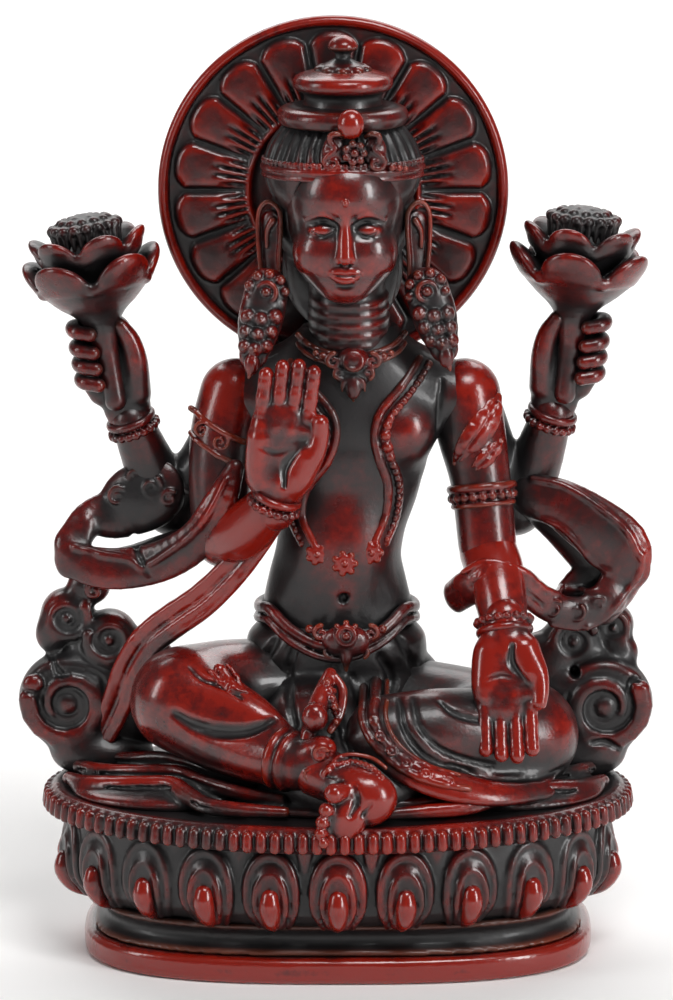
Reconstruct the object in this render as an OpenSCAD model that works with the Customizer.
// Four-armed seated deity statuette in cast resin, on an oval lotus base, with a petalled halo.
// Millimetres. +Z is up, the figure faces -Y, and the origin is the middle of the base's underside.
// "Right" and "left" are the figure's own, so its right side is at -X.

/* [Base] */
// Width of the foot plate
plate_w = 108; // [96:1:114]
// Depth of the foot plate
plate_d = 67; // [58:1:72]
// Thickness of the foot plate
plate_h = 5.5; // [4:0.5:8]
// Height of the hollow moulding above the plate
waist_h = 6; // [4:0.5:9]
// How far the hollow moulding is set in from the plate's edge
waist_inset = 3; // [2:0.5:5]
// Height of the petalled cup
cup_h = 18.5; // [15:0.5:24]
// Width of the cup under its rim
cup_w = 117; // [106:1:118]
// Depth of the cup under its rim
cup_d = 74; // [66:1:76]
// Number of petals round the cup
base_petals = 22; // [16:2:28]
// How far a petal stands out of the cup
petal_depth = 3.6; // [2.5:0.1:5]
// Height of the beaded rim
rim_h = 5; // [4:0.5:7]
// How far the rim reaches past the cup
rim_reach = 4.5; // [4:0.5:8]
// Height of the seat above the rim
seat_rise = 0.8; // [0.5:0.1:3]

/* [Torso] */
// Width of the hips
hips_w = 35; // [30:1:40]
// Height of the waistband above the seat
hips_h = 36; // [32:1:42]
// Width of the waist
waist_w = 23.5; // [20:0.5:28]
// Height of the shoulders above the waistband
torso_h = 46; // [40:1:54]
// Width of the chest
chest_w = 36; // [29:1:38]
// Distance between the shoulder joints
shoulder_span = 49; // [46:1:58]
// Sideways sway of the chest over the hips
sway = 2.5; // [0:0.5:4]

/* [Head] */
// Width of the neck
neck_w = 16; // [13:0.5:18]
// Height of the neck
neck_h = 16; // [13:0.5:20]
// Width of the face
face_w = 22; // [19:0.5:25]
// Height of the face, from chin to hairline
face_h = 26; // [22:0.5:30]
// Depth of the head
head_d = 24; // [20:0.5:27]
// How much the hair adds on each side of the face
hair_t = 5; // [3:0.5:6]

/* [Crown] */
// Width of the crown's lower ring
crown_ring_w = 26.5; // [23:0.5:30]
// Thickness of the crown's lower ring
crown_ring_h = 3.4; // [2.5:0.1:5]
// Width of the crown's upper disc
crown_disc_w = 20.5; // [17:0.5:24]
// Thickness of the crown's upper disc
crown_disc_h = 4.2; // [3:0.1:6]
// Height of the finial above the upper disc
finial_h = 8.6; // [6:0.2:11]
// Width of the round jewel over the brow
jewel_w = 5.6; // [4:0.2:7]

/* [Halo] */
// Diameter of the halo
halo_d = 74; // [64:1:84]
// Thickness of the halo's disc
halo_t = 3; // [2.4:0.2:5]
// Diameter of the plain middle of the halo
halo_middle_d = 38; // [34:1:46]
// Number of petals round the halo
halo_petals = 18; // [12:1:20]
// Width of the halo's rim
halo_rim_w = 2.6; // [2:0.2:4]
// Diameter of the dowel that holds the halo
dowel_d = 4; // [3:0.5:5]

/* [Limbs] */
// Diameter of the front upper arms at the shoulder
upper_arm_d = 15.5; // [13:0.5:18]
// Diameter of an elbow
elbow_d = 12; // [10:0.5:14]
// Diameter of a wrist
wrist_d = 8.4; // [7:0.2:10]
// Width of a palm
palm_w = 12.5; // [11:0.5:15]
// Diameter of a finger
finger_d = 3.2; // [2.6:0.1:3.8]
// Diameter of a knee
knee_d = 21; // [18:0.5:24]

/* [Lotus flowers] */
// Width of a held lotus flower
lotus_w = 25; // [21:0.5:29]
// Height of a held lotus flower
lotus_h = 19.5; // [16:0.5:23]
// Diameter of its stem
stem_d = 4.6; // [3.6:0.2:5.4]

/* [Scarf and clouds] */
// Width of the scarf
scarf_w = 12; // [9:0.5:14]
// Thickness of the scarf
scarf_t = 3; // [2.4:0.2:4]
// Diameter of a lower cloud scroll
scroll_d = 21; // [18:0.5:23]
// Thickness of the cloud scrolls, front to back
scroll_t = 8; // [6:0.5:11]

/* [Hidden] */

// Colours
RESIN = "#4a1210";
POLISHED = "#7a1a12";
PATINA = "#26100f";

// How far the plate's outline is from an ellipse, which is 1
plate_square = 0.72;

// Heights of the base, from the ground up
waist_z = plate_h;
cup_z = waist_z + waist_h;
rim_z = cup_z + cup_h;
seat_z = rim_z + rim_h + seat_rise;
rim_w = cup_w + 2 * rim_reach;
rim_d = cup_d + 2 * rim_reach;
seat_w = cup_w + 2;
seat_d = cup_d + 2;

// Landmarks of the figure, measured from the middle of the seat's top
shoulder_z = hips_h + torso_h;
neck_z = shoulder_z + 9;
chin_z = neck_z + neck_h - 2;
head_mid = [1.5, 0.5, chin_z + face_h / 2];
brow_z = chin_z + face_h;
crown_mid = [head_mid[0] - 0.5, 3];
crown_ring_z = brow_z + 8.6;
crown_disc_z = crown_ring_z + crown_ring_h + 2;
finial_z = crown_disc_z + crown_disc_h;
halo_mid = [-1, 18, head_mid[2] + 5.2];
chest_mid = [sway, 3, hips_h + torso_h * 0.78];
waist_mid = [-0.5, 2, hips_h + torso_h * 0.25];
right_shoulder = [sway - shoulder_span / 2, 5, shoulder_z - 1];
left_shoulder = [sway + shoulder_span / 2, 5, shoulder_z - 1];
front_right_elbow = right_shoulder + [-1.5, -5, -30];
front_right_wrist = front_right_elbow + [11, -10, 13.5];
front_left_elbow = left_shoulder + [5, -6, -33];
front_left_wrist = front_left_elbow + [1, -14, -11.5];
rear_right_elbow = right_shoulder + [-13, 8, -25];
rear_right_wrist = rear_right_elbow + [-8.5, -5, 20];
rear_left_elbow = left_shoulder + [10, 8, -25];
rear_left_wrist = rear_left_elbow + [8, -5, 21.5];
right_stem_foot = rear_right_wrist + [-2.7, -3, 4];
left_stem_foot = rear_left_wrist + [2.6, -3, 4];
right_lotus_mid = right_stem_foot + [-4.5, 1, 16];
left_lotus_mid = left_stem_foot + [3.2, 1, 18];
right_knee = [-hips_w * 0.92, -7, knee_d / 2 + 9];
right_ankle = [-9, -26, 10];
left_knee = [hips_w * 1.06, -9, knee_d / 2 + 1];
left_shin = [14, -21, 15];
heel = right_ankle + [17, -4.5, -5];
toes = right_ankle + [6, -13, -11];

// How much thinner a limb starts inside the piece it grows from
tuck = 0.9;

// Curves
function unit(v) = v / norm(v);
function nth(s, i) = s[min(max(i, 0), len(s) - 1)];
function place(s) = [s[0], s[1], s[2]];

// A point round an oval. square is 1 for an ellipse, and less for an oval with flatter sides.
function rim_point(rx, ry, a, square) = [rx * sign(cos(a)) * pow(abs(cos(a)), square),
                                         ry * sign(sin(a)) * pow(abs(sin(a)), square)];
function oval(rx, ry, n = 48, square = 1) = [for (i = [0:n - 1]) rim_point(rx, ry, 360 * (i + 0.5) / n, square)];

// A station: a point, with the half width and half thickness of the limb there
function at(p, w, t = 0) = [p[0], p[1], p[2], w, t == 0 ? w : t];

// A smooth curve through stations, with steps pieces from each station to the next
function curve(s, steps) = concat(
    [for (i = [0:len(s) - 2], j = [0:steps - 1])
        let (t = j / steps, a = nth(s, i - 1), b = s[i], c = s[i + 1], d = nth(s, i + 2))
        b + t * (c - a) / 2 + t * t * (a - 2.5 * b + 2 * c - d / 2)
          + t * t * t * (1.5 * (b - c) + (d - a) / 2)],
    [s[len(s) - 1]]);

// An ellipsoid at a station, as long as it is thick, with its thickness turned towards ref
module pebble(s, way, ref, sides) {
    side = unit(cross(way, ref));
    up = cross(side, way);
    long = min(s[3], s[4]);
    multmatrix([[side[0] * s[3], up[0] * s[4], way[0] * long, s[0]],
                [side[1] * s[3], up[1] * s[4], way[1] * long, s[1]],
                [side[2] * s[3], up[2] * s[4], way[2] * long, s[2]],
                [0, 0, 0, 1]])
        sphere(1, $fn = sides);
}

// A limb, cord or band along stations, each hulled to the next
module limb(stations, ref = [0, 1, 0], steps = 1, sides = 6) {
    s = curve(stations, steps);
    for (i = [0:len(s) - 2]) {
        way = unit(place(s[i + 1]) - place(s[i]));
        hull() {
            pebble(s[i], way, ref, sides);
            pebble(s[i + 1], way, ref, sides);
        }
    }
}

// A solid through a list of rings that all have n points
module loft(rings) {
    n = len(rings[0]);
    last = len(rings) - 1;
    points = [for (r = rings, p = r) p];
    faces = concat(
        [[for (i = [n - 1:-1:0]) i]],
        [[for (i = [0:n - 1]) last * n + i]],
        [for (k = [0:last - 1], i = [0:n - 1])
            let (a = k * n + i, b = k * n + (i + 1) % n) [a, b, b + n, a + n]]);
    polyhedron(points, faces);
}

// An oval moulding: stations of [height, half width, half depth], from the bottom up
module moulding(stations, sides = 48, square = 1) {
    loft([for (s = stations) [for (p = oval(s[1], s[2], sides, square)) [-p[0], p[1], s[0]]]]);
}

module on_seat() {
    translate([0, 0, seat_z]) children();
}

// ---- Base ----
module foot_plate() {
    color(POLISHED) linear_extrude(plate_h) polygon(oval(plate_w / 2, plate_d / 2, square = plate_square));
}

module base_waist() {
    rx = plate_w / 2 - waist_inset;
    ry = plate_d / 2 - waist_inset;
    color(PATINA) moulding([
        [waist_z, rx, ry],
        [waist_z + waist_h * 0.35, rx - 1.5, ry - 1.5],
        [waist_z + waist_h, rx - 1, ry - 1]], square = plate_square);
}

function cup_rx(u) = cup_w / 2 - petal_depth - 6.5 * (1 - u) * (1 - u);
function cup_ry(u) = cup_d / 2 - petal_depth - 5 * (1 - u) * (1 - u);

module lotus_cup() {
    color(PATINA) moulding([for (u = [0:0.25:1]) [cup_z + u * cup_h, cup_rx(u), cup_ry(u)]]);
}

// Way round the cup, and the turn that each length of it has come to
cup_way = [for (d = 0, a = 0; a <= 360; a = a + 4,
        d = d + 4 * PI / 180 * norm([cup_rx(0.5) * sin(a - 2), cup_ry(0.5) * cos(a - 2)])) [d, a]];
cup_round = cup_way[len(cup_way) - 1][0];

// Stands a shape at place i of the petals round the cup, facing out
module round_cup(i) {
    a = lookup(cup_round * (i + 0.5) / base_petals, cup_way);
    u = 0.5;
    lean = atan2(cup_rx(1) - cup_rx(0), cup_h);
    facing = atan2(cup_rx(u) * sin(a), cup_ry(u) * cos(a));
    translate([cup_rx(u) * cos(a), cup_ry(u) * sin(a), cup_z + cup_h * u])
        rotate([0, 0, facing]) rotate([0, lean, 0]) children();
}

petal_w = 0.92 * cup_round / base_petals;

module lotus_petals() {
    color(RESIN) difference() {
        for (i = [0:base_petals - 1]) round_cup(i)
            limb([[0, 0, -cup_h * 0.34, petal_w * 0.32, petal_depth * 0.8],
                  [0, 0, cup_h * 0.24, petal_w * 0.42, petal_depth * 0.8]],
                 ref = [1, 0, 0]);
        moulding([for (u = [0:0.25:1]) [cup_z + u * cup_h, cup_rx(u) - 0.02, cup_ry(u) - 0.02]]);
    }
}

module petal_bosses() {
    color(POLISHED) for (i = [0:base_petals - 1]) round_cup(i)
        translate([petal_depth * 0.9, 0, -1.5]) rotate([0, 90, 0]) cylinder(h = 1.4, d1 = 4.6, d2 = 3, $fn = 24);
}

// The rim and all that lies inside and under it, as one block
module rim_block() {
    rx = cup_w / 2 + rim_reach;
    ry = cup_d / 2 + rim_reach;
    moulding([[rim_z, rx - 1.5, ry - 1.5], [rim_z + rim_h * 0.3, rx, ry],
              [rim_z + rim_h * 0.7, rx, ry], [rim_z + rim_h, rx - 1.5, ry - 1.5],
              [seat_z, seat_w / 2 - 2, seat_d / 2 - 2]]);
}

module bead_rim() {
    rx = cup_w / 2 + rim_reach;
    ry = cup_d / 2 + rim_reach;
    color(RESIN) difference() {
        moulding([[rim_z, rx - 1.5, ry - 1.5], [rim_z + rim_h * 0.3, rx, ry],
                  [rim_z + rim_h * 0.7, rx, ry], [rim_z + rim_h, rx - 1.5, ry - 1.5]]);
        moulding([[rim_z + rim_h / 2, seat_w / 2, seat_d / 2], [rim_z + rim_h + 1, seat_w / 2, seat_d / 2]]);
    }
}

module seat_disc() {
    color(PATINA) moulding([
        [rim_z + rim_h / 2, seat_w / 2, seat_d / 2],
        [seat_z - seat_rise / 2, seat_w / 2, seat_d / 2],
        [seat_z, seat_w / 2 - 2, seat_d / 2 - 2]]);
}

// The skirt's cloth, spread on the seat in flat folds
module seat_cloth() {
    color(RESIN) on_seat() {
        limb([[-50, -8, 1, 9, 1], [-40, -16, 1.4, 11, 1.4], [-26, -24, 1.4, 8, 1.4], [-15, -28, 1, 5, 1]],
             ref = [0, 0, 1]);
        limb([[10, -30, 1, 4, 1], [22, -27, 1.6, 6, 1.6], [36, -21, 1.6, 9, 1.6], [50, -11, 1, 7, 1]],
             ref = [0, 0, 1]);
    }
}

// ---- Seated body ----
module below_seat() {
    translate([-100, -100, -60]) cube([200, 200, 60]);
}

module hips_shape() {
    limb([at([0, 6, 7], hips_w * 0.74, 17), at([0, 5, 19], hips_w * 0.62, 15),
          at([0, 4, hips_h - 8], hips_w * 0.53, 12.5), at([-0.5, 3, hips_h - 1], hips_w * 0.47, 11)], sides = 10);
}

module right_leg_shape() {
    limb([at([-hips_w * 0.4, 2, 22], 11), at(right_knee + [8, 2, 2], 11), at(right_knee, knee_d / 2),
          at((right_knee + right_ankle) / 2, 9.4), at(right_ankle, 5.6)], steps = 2, sides = 10);
}

module left_leg_shape() {
    limb([at([hips_w * 0.35, 2, 15], 12), at(left_knee + [-9, 3, 2], 11.4), at(left_knee, knee_d / 2)], sides = 10);
    limb([at(left_knee, knee_d / 2), at((left_knee + left_shin) / 2 + [0, 1.5, 1], 8.6), at(left_shin, 7.5),
          at(left_shin + [-9, -3, -6], 5.5)], sides = 10);
}

module foot_shape() {
    limb([at(right_ankle, 5.4), at(right_ankle + [9, -4, -2.5], 5.4)]);
    limb([at(heel, 4.6), at((heel + toes) / 2 + [0, 0, 0.5], 5.6, 4.4), at(toes, 5.2, 3)], ref = [0, 0, 1]);
    for (i = [0:4])
        limb([at(toes + [i * 1.9 - 3, 2 - i * 0.7, 1.5], 1.4), at(toes + [i * 1.9 - 5.4, -1 - i, 0], 1.3)]);
}

module hips() {
    color(RESIN) on_seat() difference() {
        hips_shape();
        below_seat();
    }
}

module right_leg() {
    color(POLISHED) on_seat() difference() {
        right_leg_shape();
        hips_shape();
        below_seat();
    }
}

module left_leg() {
    color(RESIN) on_seat() difference() {
        left_leg_shape();
        hips_shape();
        right_leg_shape();
        below_seat();
    }
}

// The right foot hangs over the rim, so the rim and seat are cut out of it
module right_foot() {
    color(POLISHED) difference() {
        on_seat() foot_shape();
        on_seat() right_leg_shape();
        on_seat() left_leg_shape();
        rim_block();
    }
}

module ankle_band() {
    color(RESIN) on_seat() difference() {
        limb([at(right_ankle + [-3.5, 2, 1.8], 7.4), at(right_ankle + [1, -0.5, -0.6], 7)]);
        right_leg_shape();
        foot_shape();
        hips_shape();
        left_leg_shape();
        below_seat();
    }
}

module thigh_band() {
    color(RESIN) on_seat() difference() {
        limb([at(right_knee + [5.5, 1.6, 1.4], 12.8), at(right_knee + [8, 2.2, 1.4], 12.8)]);
        right_leg_shape();
        hips_shape();
        below_seat();
    }
}

module shin_hem() {
    color(RESIN) on_seat() difference() {
        limb([at(left_shin + [-6, -1, -1.5], 9.2), at(left_shin + [-2.5, 0, 0], 9.6)]);
        left_leg_shape();
        right_leg_shape();
        foot_shape();
        hips_shape();
        below_seat();
    }
}

module torso_shape() {
    limb([at([-0.5, 3, hips_h - 4], waist_w * 0.62, 10), at(waist_mid, waist_w / 2, 8.5),
          at((waist_mid + chest_mid) / 2, chest_w * 0.42, 9.5), at(chest_mid, chest_w / 2, 10.5),
          at([sway, 4, neck_z - 3], chest_w * 0.36, 8)], sides = 10);
    for (s = [right_shoulder, left_shoulder])
        limb([at(chest_mid + [0, 1.5, 5.5], 9.5, 7.5), at((s + chest_mid) / 2 + [0, 1, 4.4], 7.4), at(s, upper_arm_d / 2)], sides = 10);
}

module neck_shape() {
    limb([at([sway, 3, neck_z - 4], neck_w * 0.56, neck_w * 0.5), at([sway - 0.5, 2.5, neck_z + 4], neck_w / 2),
          at([head_mid[0], 2, chin_z + 4], neck_w / 2)], sides = 10);
}

module head_shape() {
    limb([at([head_mid[0], -5, chin_z + 3.2], 4.2, 3.6), at([head_mid[0], -1.5, chin_z + 6], face_w * 0.38, head_d * 0.34),
          at([head_mid[0], 0.5, chin_z + face_h * 0.48], face_w / 2, head_d / 2),
          at([head_mid[0], 1, chin_z + face_h * 0.75], face_w * 0.49, head_d / 2),
          at([head_mid[0], 2, brow_z], face_w * 0.4, head_d * 0.42)], sides = 10);
}

module hair_shape() {
    r = face_w / 2 + hair_t;
    limb([at([crown_mid[0], 8, chin_z + 2], r * 0.72, 6), at([crown_mid[0], 7, chin_z + 10], r * 0.86, 8.5),
          at([crown_mid[0], 4.5, brow_z - 6], r * 0.96, r * 0.8), at([crown_mid[0], 3, brow_z], r, r * 0.95),
          at([crown_mid[0], 3, brow_z + 5], r * 0.86, r * 0.82)], sides = 10);
}

module ears_shape() {
    for (s = [-1, 1])
        limb([at([head_mid[0] + s * (face_w / 2 + 2.4), 2, chin_z + face_h * 0.62], 2.6, 2),
              at([head_mid[0] + s * (face_w / 2 + 3.2), 1, chin_z + face_h * 0.35], 3, 1.8),
              at([head_mid[0] + s * (face_w / 2 + 2.4), 0, chin_z + 2], 1.8, 1.8)]);
}

module torso() {
    color(RESIN) on_seat() difference() {
        torso_shape();
        hips_shape();
    }
}

module neck() {
    color(RESIN) on_seat() difference() {
        neck_shape();
        torso_shape();
    }
}

module head() {
    color(POLISHED) on_seat() difference() {
        head_shape();
        neck_shape();
    }
}

// The hair is cut flat on top, where the crown's ring stands on it
module hair() {
    color(PATINA) on_seat() difference() {
        hair_shape();
        head_shape();
        neck_shape();
        torso_shape();
        translate([-50, -50, crown_ring_z]) cube(100);
    }
}

module ears() {
    color(RESIN) on_seat() difference() {
        ears_shape();
        head_shape();
        hair_shape();
    }
}

// A cluster of small flowers in front of each ear lobe, with a drop under it
module earrings_shape() {
    for (s = [-1, 1]) {
        lobe = [head_mid[0] + s * (face_w / 2 + 5.6), -5, chin_z + 1.5];
        limb([at(lobe, 4.2, 3), at(lobe + [s * 1, -1.5, -7], 4.4, 3), at(lobe + [s * 2.6, -2.5, -14], 3, 2.4),
              at(lobe + [s * 3.4, -2.5, -18], 1.4)]);
    }
}

module earrings() {
    color(RESIN) on_seat() difference() {
        earrings_shape();
        ears_shape();
        hair_shape();
        head_shape();
        neck_shape();
        torso_shape();
    }
}

// ---- Crown ----
module crown_band_shape() {
    r = face_w / 2 + hair_t + 0.8;
    translate(crown_mid) moulding([[brow_z - 1.8, r - 0.6, r * 0.95 - 0.6], [brow_z - 0.8, r, r * 0.95],
                                   [brow_z + 0.8, r, r * 0.95], [brow_z + 1.8, r - 0.8, r * 0.95 - 0.8]]);
}

module crown_band() {
    color(RESIN) on_seat() difference() {
        crown_band_shape();
        hair_shape();
        head_shape();
    }
}

// A flower between two scrolls, standing on the band
module crown_tiara_shape() {
    y = crown_mid[1] - face_w / 2 - hair_t + 1.2;
    mid = [head_mid[0] + 1, y, brow_z + 5];
    limb([at(mid + [0, 1, 0], 4.2, 2.4), at(mid + [0, 0, -1], 4.2, 2.2)]);
    for (s = [-1, 1])
        limb([at(mid + [s * 4, 0.6, -2], 2.2, 1.8), at(mid + [s * 8, 2.4, -1.6], 2.4, 1.8),
              at(mid + [s * 12, 5.6, -2.4], 1.6, 1.5)]);
}

module crown_tiara() {
    color(RESIN) on_seat() difference() {
        crown_tiara_shape();
        hair_shape();
        crown_band_shape();
        ring_block();
    }
}

module ring_block() {
    translate([crown_mid[0], crown_mid[1], crown_ring_z]) cylinder(h = crown_ring_h, d = crown_ring_w, $fn = 64);
}

module crown_ring() {
    edge = crown_ring_h / 2;
    color(POLISHED) on_seat() translate([crown_mid[0], crown_mid[1], crown_ring_z]) rotate_extrude($fn = 64)
        union() {
            square([crown_ring_w / 2 - edge, crown_ring_h]);
            translate([crown_ring_w / 2 - edge, edge]) circle(edge, $fn = 32);
        }
}

module crown_disc() {
    waist = crown_disc_w / 2 - 3.2;
    color(POLISHED) on_seat() translate([crown_mid[0], crown_mid[1], crown_ring_z + crown_ring_h]) rotate_extrude($fn = 64)
        polygon([[0, 0], [waist, 0], [waist, 2.4], [crown_disc_w / 2 - 0.8, 2.9], [crown_disc_w / 2, 3.6],
                 [crown_disc_w / 2 - 0.4, 4.4], [waist + 1, 5], [waist, crown_disc_z - crown_ring_z - crown_ring_h + crown_disc_h],
                 [0, crown_disc_z - crown_ring_z - crown_ring_h + crown_disc_h]]);
}

module crown_finial() {
    color(POLISHED) on_seat() translate([crown_mid[0], crown_mid[1], finial_z]) rotate_extrude($fn = 48)
        polygon([[0, 0], [4.6, 0], [3.8, finial_h * 0.3], [2, finial_h * 0.46], [1.6, finial_h * 0.56],
                 [3.1, finial_h * 0.68], [3.2, finial_h * 0.84], [1.8, finial_h * 0.97], [0, finial_h]]);
}

// The jewel is a polished cabochon on the front of the crown's ring
module crown_jewel() {
    r = jewel_w / 2;
    color(POLISHED) on_seat() translate([crown_mid[0] + 1.6, crown_mid[1] - crown_ring_w / 2, crown_ring_z + crown_ring_h / 2])
        rotate([90, 0, 0]) rotate_extrude($fn = 32)
            polygon(concat([[0, 0]], [for (a = [0:15:90]) [r * cos(a), 2.6 * sin(a)]]));
}

// ---- Halo ----
module in_halo() {
    on_seat() translate(halo_mid) rotate([90, 0, 0]) children();
}

petal_out = halo_d / 2 - halo_rim_w - 0.6;
petal_in = halo_middle_d / 2;
halo_relief = 1.2;

module halo_disc() {
    color(PATINA) in_halo() {
        translate([0, 0, -halo_t]) cylinder(h = halo_t, d = halo_d, $fn = 96);
        rotate_extrude($fn = 96) translate([halo_d / 2 - halo_rim_w, 0]) square([halo_rim_w, halo_relief]);
    }
}

// One halo petal, from its narrow foot at petal_in out to its round end at petal_out
module halo_petals() {
    half = 180 / halo_petals;
    gap = 0.35;
    tip = petal_out * sin(half) * 0.8;
    bend = petal_out - tip;
    foot = petal_in * tan(half) - gap;
    wide = bend * tan(half) - gap;
    outline = concat([[petal_in, -foot]],
        [for (a = [-90:15:90]) [bend + tip * cos(a), wide * sin(a)]], [[petal_in, foot]]);
    color(RESIN) in_halo() for (i = [0:halo_petals - 1]) rotate([0, 0, 360 * i / halo_petals])
        linear_extrude(halo_relief) polygon(outline);
}

// The dowel runs from the back of the hair into the halo's face
module halo_dowel() {
    reach = halo_mid[1] - crown_mid[1];
    color(PATINA) difference() {
        in_halo() translate([head_mid[0] - halo_mid[0], head_mid[2] - halo_mid[2], 0]) cylinder(h = reach, d = dowel_d, $fn = 32);
        on_seat() hair_shape();
        on_seat() head_shape();
    }
}

// ---- Arms ----
module front_right_upper_arm_shape() {
    limb([at(right_shoulder + [-0.5, -0.6, -2.2], upper_arm_d / 2 - tuck), at((right_shoulder + front_right_elbow) / 2 + [-3, 0, 0], upper_arm_d * 0.44),
          at(front_right_elbow, elbow_d / 2)], sides = 9);
}

module front_right_forearm_shape() {
    limb([at(front_right_elbow, elbow_d / 2 - tuck), at((front_right_elbow + front_right_wrist) / 2, elbow_d * 0.5),
          at(front_right_wrist, wrist_d / 2)], sides = 8);
}

module front_left_upper_arm_shape() {
    limb([at(left_shoulder + [0, 0, -1], upper_arm_d / 2 - tuck), at((left_shoulder + front_left_elbow) / 2 + [2, 0, 0], upper_arm_d * 0.44),
          at(front_left_elbow, elbow_d / 2)], sides = 8);
}

module front_left_forearm_shape() {
    limb([at(front_left_elbow, elbow_d / 2 - tuck), at((front_left_elbow + front_left_wrist) / 2, elbow_d * 0.5),
          at(front_left_wrist, wrist_d / 2)], sides = 8);
}

// A flat hand: the palm, four fingers side by side and the thumb. grow is +1 for fingers up.
module open_hand(wrist, grow, thumb) {
    p = wrist + [1.5, -4, grow * 11];
    limb([at(wrist, wrist_d / 2 - tuck), at(p, palm_w / 2, 3.4), at(p + [0, -0.5, grow * 5], palm_w / 2, 2.8)]);
    for (i = [0:3]) {
        x = (i - 1.5) * finger_d * 0.98;
        long = 11.5 - 1.3 * abs(i - 1.5);
        limb([at(p + [x, -0.5, grow * 5], finger_d / 2), at(p + [x, -0.8, grow * (6 + long)], finger_d * 0.42)]);
    }
    limb([at(p + [thumb * palm_w * 0.3, -0.5, -grow * 5], finger_d * 0.8), at(p + [thumb * palm_w * 0.62, -1.5, grow * 0.5], finger_d * 0.62),
          at(p + [thumb * palm_w * 0.62, -2, grow * 6], finger_d * 0.5)]);
}

module lowered_hand_shape() {
    translate([2, -6.4, 0]) open_hand(front_left_wrist + [-1.6, 3.8, 0], -1, 1);
}

module front_right_upper_arm() {
    color(RESIN) on_seat() difference() {
        front_right_upper_arm_shape();
        torso_shape();
    }
}

module front_right_forearm() {
    color(POLISHED) on_seat() difference() {
        front_right_forearm_shape();
        front_right_upper_arm_shape();
        torso_shape();
    }
}

module front_right_hand() {
    color(POLISHED) on_seat() difference() {
        open_hand(front_right_wrist, 1, 1);
        front_right_forearm_shape();
        torso_shape();
    }
}

module front_left_upper_arm() {
    color(POLISHED) on_seat() difference() {
        front_left_upper_arm_shape();
        torso_shape();
    }
}

module front_left_forearm() {
    color(POLISHED) on_seat() difference() {
        front_left_forearm_shape();
        front_left_upper_arm_shape();
    }
}

// The hand that hangs down is cut where it rests on the shin and the seat
module front_left_hand() {
    color(POLISHED) on_seat() difference() {
        lowered_hand_shape();
        front_left_forearm_shape();
        left_leg_shape();
        below_seat();
    }
}

module rear_right_arm_shape() {
    limb([at(right_shoulder + [-2.2, 4.8, -4.6], 5.4), at(rear_right_elbow, elbow_d / 2),
          at((rear_right_elbow + rear_right_wrist) / 2, elbow_d * 0.5), at(rear_right_wrist, wrist_d / 2)], sides = 8);
}

module rear_left_arm_shape() {
    limb([at(left_shoulder + [2, 5, -4], 5.5), at(rear_left_elbow, elbow_d / 2),
          at((rear_left_elbow + rear_left_wrist) / 2, elbow_d * 0.5), at(rear_left_wrist, wrist_d / 2)], sides = 8);
}

// A fist round a lotus stem: the palm behind it and four fingers curled over it
module fist(wrist, foot, out) {
    limb([at(wrist + [0, 0, 0.4], wrist_d / 2 - tuck), at(foot + [-out * 2.4, 3.3, 5.2], 4.6, 3.5), at(foot + [-out * 1, 4.4, 12], 4.6, 3.2)]);
    for (i = [0:3]) {
        z = 4.2 + i * finger_d * 0.98;
        limb([at(foot + [out * 0.8, 4.3, z + 0.2], finger_d / 2), at(foot + [out * 5, 1.3, z + 0.4], finger_d / 2),
              at(foot + [out * 1.2, -3.2, z - 0.4], finger_d * 0.42)]);
    }
    limb([at(foot + [-out * 4, 2, 5], finger_d * 0.7), at(foot + [-out * 4.4, -1, 10], finger_d * 0.6),
          at(foot + [-out * 2.6, -3, 14], finger_d * 0.5)]);
}

module rear_right_arm() {
    color(RESIN) on_seat() difference() {
        rear_right_arm_shape();
        front_right_upper_arm_shape();
        torso_shape();
    }
}

module rear_left_arm() {
    color(RESIN) on_seat() difference() {
        rear_left_arm_shape();
        front_left_upper_arm_shape();
        torso_shape();
    }
}

module rear_right_hand() {
    color(RESIN) on_seat() difference() {
        fist(rear_right_wrist, right_stem_foot, -1);
        rear_right_arm_shape();
        stem(right_stem_foot, right_lotus_mid);
        flower_shape(right_lotus_mid);
    }
}

module rear_left_hand() {
    color(RESIN) on_seat() difference() {
        fist(rear_left_wrist, left_stem_foot, 1);
        rear_left_arm_shape();
        stem(left_stem_foot, left_lotus_mid);
        flower_shape(left_lotus_mid);
    }
}

// ---- Lotus flowers ----
module stem(foot, mid) {
    limb([at(foot, stem_d * 0.42), at(foot + [0, 0, 6], stem_d / 2), at(mid, stem_d / 2)]);
}

// Two tiers of petals round a cup: the lower tier spreads out, the upper one stands up
module flower_shape(mid) {
    for (tier = [0, 1], i = [0:5]) {
        a = 60 * i + 30 * tier;
        r = lotus_w / 2 - 1 - tier * 1.4;
        h = lotus_h * (tier == 0 ? 0.42 : 0.72);
        translate(mid) rotate([0, 0, a])
            limb([at([r * 0.3, 0, h * 0.15], r * 0.4, 2), at([r, 0, h], r * 0.56, 1)], ref = [-0.6, 0, 1]);
    }
}

module pod_shape(mid) {
    translate(mid + [0, 0, lotus_h * 0.3]) cylinder(h = lotus_h * 0.6, d1 = lotus_w * 0.34, d2 = lotus_w * 0.52, $fn = 32);
}

module lotus(foot, mid) {
    color(POLISHED) on_seat() difference() {
        union() {
            stem(foot, mid);
            flower_shape(mid);
        }
        pod_shape(mid);
    }
}

// The pod's domed top carries a ring of seeds round a middle one
module lotus_pod(mid) {
    top = mid + [0, 0, lotus_h * 0.9];
    color(PATINA) on_seat() {
        pod_shape(mid);
        for (i = [0:6]) translate(top + (i == 6 ? [0, 0, 0.4] : lotus_w * 0.16 * [cos(60 * i), sin(60 * i), 0]))
            sphere(d = lotus_w * 0.12, $fn = 20);
    }
}

module right_lotus() {
    lotus(right_stem_foot, right_lotus_mid);
}

module left_lotus() {
    lotus(left_stem_foot, left_lotus_mid);
}

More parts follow.
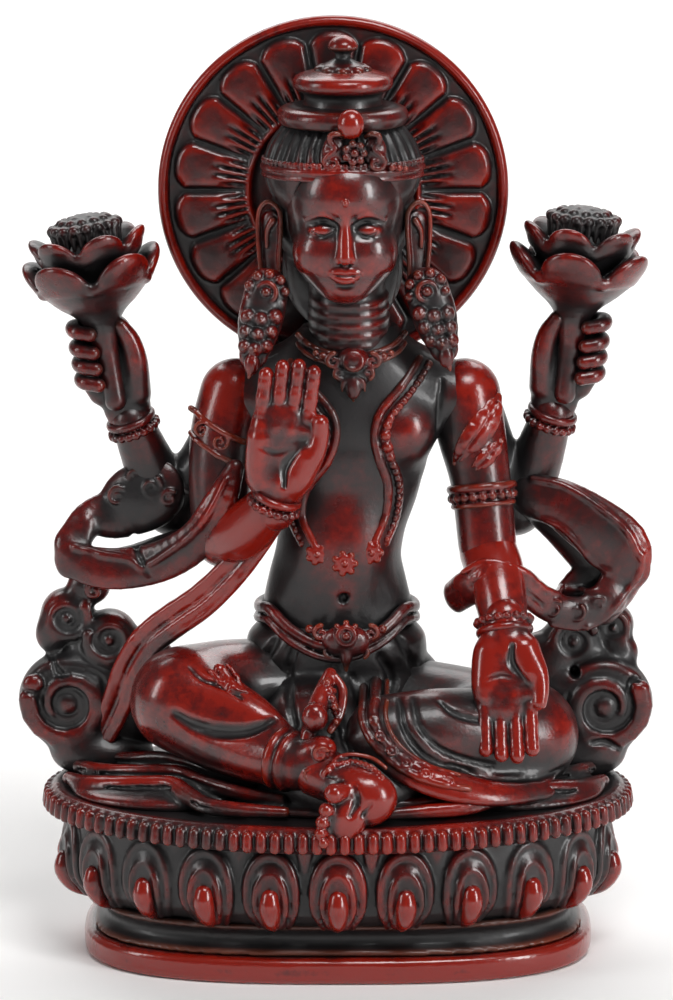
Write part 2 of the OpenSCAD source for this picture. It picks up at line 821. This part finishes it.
module right_lotus_pod() {
    lotus_pod(right_lotus_mid);
}

module left_lotus_pod() {
    lotus_pod(left_lotus_mid);
}

// ---- Arm ornaments ----
// A band round a limb, from a towards b, standing proud by proud
module cuff(a, b, r, wide, proud) {
    mid = (a + b) / 2;
    way = unit(b - a);
    limb([at(mid - way * wide / 2, r + proud), at(mid + way * wide / 2, r + proud)], sides = 10);
}

module bracelets() {
    color(RESIN) on_seat() difference() {
        union() {
            cuff(front_right_wrist, front_right_wrist + [-1.8, 1.6, -2], wrist_d / 2 - 0.6, 2, 1.6);
            cuff(front_left_wrist, front_left_wrist + [-0.2, 2, 2], wrist_d / 2 - 0.6, 2, 1.6);
            cuff(rear_right_wrist, rear_right_wrist + [0.6, 0.6, -2], wrist_d / 2 - 0.6, 2, 1.6);
            cuff(rear_left_wrist, rear_left_wrist + [-0.6, 0.6, -2], wrist_d / 2 - 0.6, 2, 1.6);
        }
        front_right_forearm_shape();
        open_hand(front_right_wrist, 1, 1);
        front_left_forearm_shape();
        lowered_hand_shape();
        rear_right_arm_shape();
        rear_left_arm_shape();
        fist(rear_right_wrist, right_stem_foot, -1);
        fist(rear_left_wrist, left_stem_foot, 1);
        right_scarf_shape();
        left_scarf_shape();
        left_leg_shape();
    }
}

module armlets() {
    color(RESIN) on_seat() difference() {
        union() {
            limb([at(right_shoulder * 0.62 + front_right_elbow * 0.38 + [-2.6, -1, 0], upper_arm_d * 0.52),
                  at(right_shoulder * 0.52 + front_right_elbow * 0.48 + [-3, -1, 0], upper_arm_d * 0.52)]);
            limb([at(left_shoulder * 0.4 + front_left_elbow * 0.6 + [2, 0, 0], upper_arm_d * 0.48),
                  at(left_shoulder * 0.34 + front_left_elbow * 0.66 + [2, 0, 0], upper_arm_d * 0.48)]);
        }
        front_right_upper_arm_shape();
        front_left_upper_arm_shape();
        rear_right_arm_shape();
        rear_left_arm_shape();
        torso_shape();
    }
}

// ---- Scarf and cloud scrolls ----
// The figure's right scarf hangs like a boat: a front fold, a raised tip and a back fold
module right_scarf_shape() {
    t = scarf_t / 2;
    w = scarf_w / 2;
    limb([at([-26, 2, 62], w * 0.8, t), at([-32, 0, 52], w, t), at([-42, 1, 47], w, t), at([-53, 4, 47], w * 0.9, t),
          at([-58, 6, 50], w * 0.5, t)], ref = [0.2, -1, 0.3]);
    limb([at([-57, 7, 52], w * 0.8, t), at([-52, 9, 58], w * 0.8, t), at(rear_right_elbow + [-2, -3, 4], w, t)],
         ref = [0.2, -1, 0.5]);
}

module left_scarf_shape() {
    t = scarf_t / 2;
    w = scarf_w / 2;
    limb([at(rear_left_elbow + [3, -4, 5], w * 0.8, t), at([46.4, 6.6, 60.3], w, t), at([55, 5, 53], w, t), at([60, 5, 44], w, t), at([54, 4, 36], w * 0.9, t)],
         ref = [0.15, -1, 0.12], sides = 7);
    limb([at([27, -6, 51], w * 0.8, t), at([32.4, -9.9, 47.6], w, t), at([40, -6, 42], w, t), at([48, 1, 37], w, t), at([54, 4, 36], w * 0.9, t)],
         ref = [0.25, -1, 0.15], sides = 7);
}

module scarf_tail_shape() {
    limb([at([-18, -6.5, 54], 3.2, 1.4), at([-26, -4, 44], 3.8, 1.4), at([-38, 0, 33], 4, 1.4),
          at([-45, 4, 22], 3.8, 1.4), at([-50, 7, 9], 3.2, 1.4)], ref = [0, -1, 0.2]);
}

module right_scarf() {
    color(RESIN) on_seat() difference() {
        right_scarf_shape();
        front_right_upper_arm_shape();
        front_right_forearm_shape();
        rear_right_arm_shape();
        torso_shape();
    }
}

module left_scarf() {
    color(RESIN) on_seat() difference() {
        left_scarf_shape();
        front_left_upper_arm_shape();
        front_left_forearm_shape();
        rear_left_arm_shape();
        torso_shape();
        left_leg_shape();
    }
}

module scarf_tail() {
    color(POLISHED) on_seat() difference() {
        scarf_tail_shape();
        right_scarf_shape();
        front_right_forearm_shape();
        open_hand(front_right_wrist, 1, 1);
        torso_shape();
        hips_shape();
        right_leg_shape();
        scroll_shape(-1);
        below_seat();
    }
}

// Rolls of cloud between the scarf and the seat: a big lower roll, an upper one and a curl between them.
// side is -1 on the figure's right and 1 on its left.
module scroll_shape(side) {
    lower = side < 0 ? [-57, 8, 14.5] : [56.5, 8, 13.5];
    upper = side < 0 ? [-53, 9, 33] : [52, 9, 28];
    t = scroll_t / 2;
    for (s = [at(lower, scroll_d / 2), at(upper, scroll_d * 0.36), at((lower + upper) / 2 - [side * 6, 0, 0], scroll_d * 0.34)])
        for (lift = [0, 1])
            hull() {
                translate(place(s)) rotate([90, 0, 0]) cylinder(h = t + lift, r = s[3] * (lift == 0 ? 1 : 0.55), $fn = 20);
                translate(place(s)) rotate([-90, 0, 0]) cylinder(h = t, r = s[3] * (lift == 0 ? 0.9 : 0.5), $fn = 20);
            }
    limb([at(lower - [side * 10, 1, 6], 5, 3.4), at(lower - [side * 4, 0, 11], 4, 3.4)]);
    limb([at(lower - [side * 10, 1, 6], 5, 3.4), at([lower[0] - side * 16, 4, 12], 4.5, 3)]);
}

module right_scroll() {
    color(RESIN) on_seat() difference() {
        scroll_shape(-1);
        right_scarf_shape();
        right_leg_shape();
        hips_shape();
        below_seat();
    }
}

module left_scroll() {
    color(RESIN) on_seat() difference() {
        scroll_shape(1);
        left_scarf_shape();
        left_leg_shape();
        hips_shape();
        below_seat();
    }
}

// ---- Body ornaments ----
module necklace_shape() {
    limb([at([sway - 10, 2, neck_z + 1.5], 2.2, 1.6), at([sway - 6, -5, neck_z - 1.5], 2.2, 1.6), at([sway + 1.4, -8, neck_z - 4], 3.2, 2),
          at([sway + 8, -5, neck_z - 1.5], 2.2, 1.6), at([sway + 11, 2, neck_z + 1.5], 2.2, 1.6)], ref = [0, -1, 0.3]);
    limb([at([sway + 1.4, -7.6, neck_z - 5], 2.8, 1.6), at([sway + 1.4, -8.2, neck_z - 10], 1.4, 1.2)]);
}

module garland_shape() {
    limb([at([sway - 11, -4, shoulder_z + 1], 1.5, 2.4), at([sway - 8, -6.6, shoulder_z - 12], 1.5, 2.4),
          at([sway - 10, -5.6, shoulder_z - 25], 1.5, 2.4), at([sway - 6, -6, hips_h + 13], 1.5, 2.4),
          at([sway - 1, -6.4, hips_h + 11], 1.8, 2.4), at([sway + 6, -6, hips_h + 14], 1.5, 2.4),
          at([sway + 9, -5.6, shoulder_z - 23], 1.5, 2.4), at([sway + 7, -6.6, shoulder_z - 10], 1.5, 2.4),
          at([sway + 14, -3.6, shoulder_z + 2], 1.5, 2.4)]);
}

module waist_sash_shape() {
    limb([at([-hips_w * 0.47, 0, hips_h + 1], 2, 2.6), at([-hips_w * 0.26, -6.4, hips_h - 2.5], 1.8, 2.6),
          at([1, -8.4, hips_h - 6], 1.8, 2.6), at([hips_w * 0.26, -6.4, hips_h - 2.5], 1.8, 2.6),
          at([hips_w * 0.45, 0, hips_h + 1], 2, 2.6)]);
}

module belt_ornament_shape() {
    limb([at([-4.4, -8.6, hips_h - 3.6], 1.6, 1.8), at([1.8, -9.8, hips_h - 5], 3.2, 2.2), at([8, -8.6, hips_h - 3.6], 1.6, 1.8)], ref = [0, -1, 0]);
    limb([at([1.8, -9.4, hips_h - 6], 2.6, 1.6), at([1.8, -10.4, hips_h - 11], 1.2, 1.2)]);
}

module lap_tassel_shape() {
    limb([at([-4, -14, 23], 3.4, 3), at([-4, -20, 20], 2.6, 2.6), at([-3.6, -25, 17.5], 3.2, 2.6), at([-6.5, -28, 14], 2.4, 2)]);
}

module necklace() {
    color(RESIN) on_seat() difference() {
        necklace_shape();
        neck_shape();
        torso_shape();
        earrings_shape();
        hair_shape();
    }
}

module garland() {
    color(RESIN) on_seat() difference() {
        garland_shape();
        torso_shape();
        neck_shape();
        necklace_shape();
        earrings_shape();
        open_hand(front_right_wrist, 1, 1);
    }
}

module waist_sash() {
    color(RESIN) on_seat() difference() {
        waist_sash_shape();
        torso_shape();
        hips_shape();
    }
}

module belt_ornament() {
    color(RESIN) on_seat() difference() {
        belt_ornament_shape();
        waist_sash_shape();
        torso_shape();
        hips_shape();
    }
}

module lap_tassel() {
    color(POLISHED) on_seat() difference() {
        lap_tassel_shape();
        hips_shape();
        right_leg_shape();
        left_leg_shape();
        foot_shape();
    }
}

foot_plate();
base_waist();
lotus_cup();
lotus_petals();
petal_bosses();
bead_rim();
seat_disc();
seat_cloth();
hips();
right_leg();
left_leg();
right_foot();
ankle_band();
thigh_band();
shin_hem();
torso();
neck();
head();
hair();
ears();
earrings();
crown_band();
crown_tiara();
crown_jewel();
crown_ring();
crown_disc();
crown_finial();
halo_disc();
halo_petals();
halo_dowel();
front_right_upper_arm();
front_right_forearm();
front_right_hand();
front_left_upper_arm();
front_left_forearm();
front_left_hand();
rear_right_arm();
rear_right_hand();
rear_left_arm();
rear_left_hand();
right_lotus();
right_lotus_pod();
left_lotus();
left_lotus_pod();
bracelets();
armlets();
right_scarf();
left_scarf();
scarf_tail();
right_scroll();
left_scroll();
necklace();
garland();
waist_sash();
belt_ornament();
lap_tassel();
